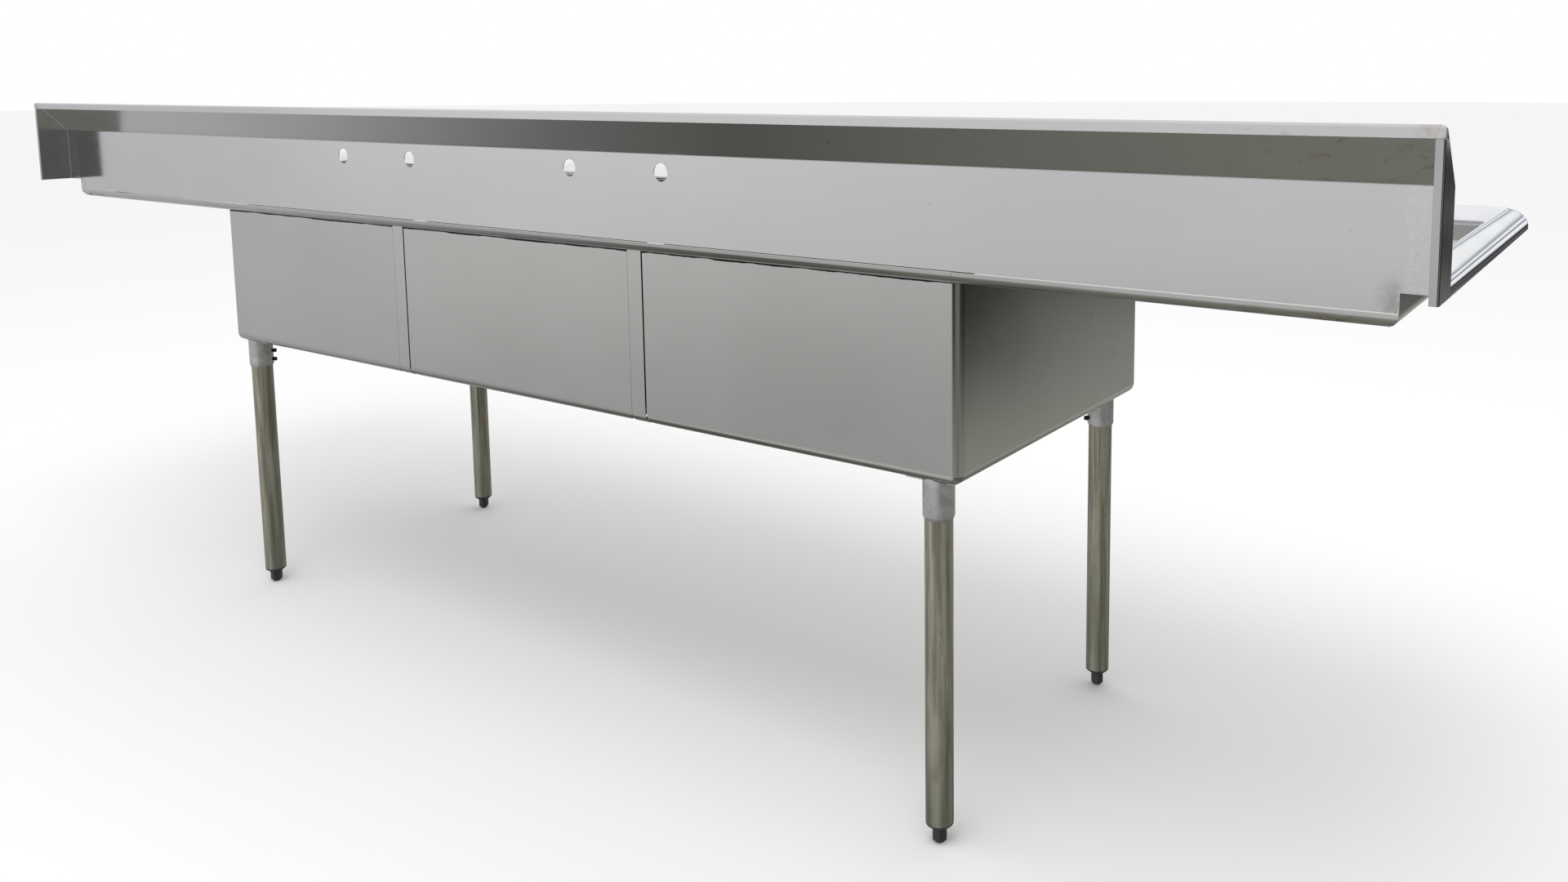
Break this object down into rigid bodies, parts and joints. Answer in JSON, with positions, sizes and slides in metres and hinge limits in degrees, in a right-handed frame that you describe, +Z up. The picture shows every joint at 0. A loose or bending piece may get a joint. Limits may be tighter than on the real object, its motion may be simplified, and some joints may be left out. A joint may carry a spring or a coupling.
{
  "type": "three compartment sink",
  "caption": "Long stainless steel kitchen sink on legs: deep square bowls in a row, a drainboard at each end, rolled rim, sloped-top backsplash with faucet holes and adjustable feet.",
  "frame": {"origin": "on the floor, under the middle of the whole sink, measured from the rim front to the wall face of the splash", "axes": "+X along the sink to the left of someone standing behind it, +Y towards the wall, +Z up; the user stands at -Y"},
  "size_m": [3.073, 0.8, 1.061],
  "materials": {
    "brushed_stainless": "number 4 brushed stainless steel, slightly mirror-like at a low angle",
    "polished_rim": "buffed stainless steel rolled edge",
    "cap_steel": "ground and brushed stainless steel",
    "drain_steel": "pressed stainless steel, satin",
    "zinc_casting": "raw zinc casting",
    "socket_zinc": "zinc-plated steel, dull",
    "galvanised_tube": "galvanised steel with olive and yellow-brown tarnish",
    "collar_plastic": "black moulded plastic",
    "foot_plastic": "black moulded plastic",
    "black_screw": "black oxide steel",
    "black_rubber": "black rubber"
  },
  "bodies": {
    "sink": {"backsplash": "brushed_stainless", "end_cap_left": "cap_steel", "end_cap_right": "cap_steel", "rolled_rim": "polished_rim", "sink_deck": "brushed_stainless", "drainboard_left": "brushed_stainless", "drainboard_right": "brushed_stainless", "bowl_left": "brushed_stainless", "bowl_center": "brushed_stainless", "bowl_right": "brushed_stainless", "back_strip_left": "brushed_stainless", "back_strip_right": "brushed_stainless", "front_strip_left": "brushed_stainless", "front_strip_right": "brushed_stainless", "strainer_body_left": "drain_steel", "strainer_body_center": "drain_steel", "strainer_body_right": "drain_steel", "strainer_gasket_left": "black_rubber", "strainer_gasket_center": "black_rubber", "strainer_gasket_right": "black_rubber", "strainer_locknut_left": "zinc_casting", "strainer_locknut_center": "zinc_casting", "strainer_locknut_right": "zinc_casting", "leg_socket_back_left": "socket_zinc", "leg_socket_back_right": "socket_zinc", "leg_socket_front_left": "socket_zinc", "leg_socket_front_right": "socket_zinc", "leg_tube_back_left": "galvanised_tube", "leg_tube_back_right": "galvanised_tube", "leg_tube_front_left": "galvanised_tube", "leg_tube_front_right": "galvanised_tube", "foot_insert_back_left": "collar_plastic", "foot_insert_back_right": "collar_plastic", "foot_insert_front_left": "collar_plastic", "foot_insert_front_right": "collar_plastic", "set_screw_back_left_1": "black_screw", "set_screw_back_left_2": "black_screw", "set_screw_back_right_1": "black_screw", "set_screw_back_right_2": "black_screw", "set_screw_front_left_1": "black_screw", "set_screw_front_left_2": "black_screw", "set_screw_front_right_1": "black_screw", "set_screw_front_right_2": "black_screw"},
    "foot_back_left": {"foot_back_left": "foot_plastic"},
    "foot_back_right": {"foot_back_right": "foot_plastic"},
    "foot_front_left": {"foot_front_left": "foot_plastic"},
    "foot_front_right": {"foot_front_right": "foot_plastic"},
    "basket_left": {"strainer_basket_left": "drain_steel", "basket_seal_left": "black_rubber"},
    "basket_center": {"strainer_basket_center": "drain_steel", "basket_seal_center": "black_rubber"},
    "basket_right": {"strainer_basket_right": "drain_steel", "basket_seal_right": "black_rubber"}
  },
  "joints": [
    {"name": "foot_back_left_adjust", "type": "slide", "parent": "sink", "child": "foot_back_left", "axis": [0, 0, -1], "range_m": [0, 0.025]},
    {"name": "foot_back_right_adjust", "type": "slide", "parent": "sink", "child": "foot_back_right", "axis": [0, 0, -1], "range_m": [0, 0.025]},
    {"name": "foot_front_left_adjust", "type": "slide", "parent": "sink", "child": "foot_front_left", "axis": [0, 0, -1], "range_m": [0, 0.025]},
    {"name": "foot_front_right_adjust", "type": "slide", "parent": "sink", "child": "foot_front_right", "axis": [0, 0, -1], "range_m": [0, 0.025]},
    {"name": "basket_left_lift", "type": "slide", "parent": "sink", "child": "basket_left", "axis": [0, 0, 1], "range_m": [0, 0.4]},
    {"name": "basket_center_lift", "type": "slide", "parent": "sink", "child": "basket_center", "axis": [0, 0, 1], "range_m": [0, 0.4]},
    {"name": "basket_right_lift", "type": "slide", "parent": "sink", "child": "basket_right", "axis": [0, 0, 1], "range_m": [0, 0.4]}
  ]
}
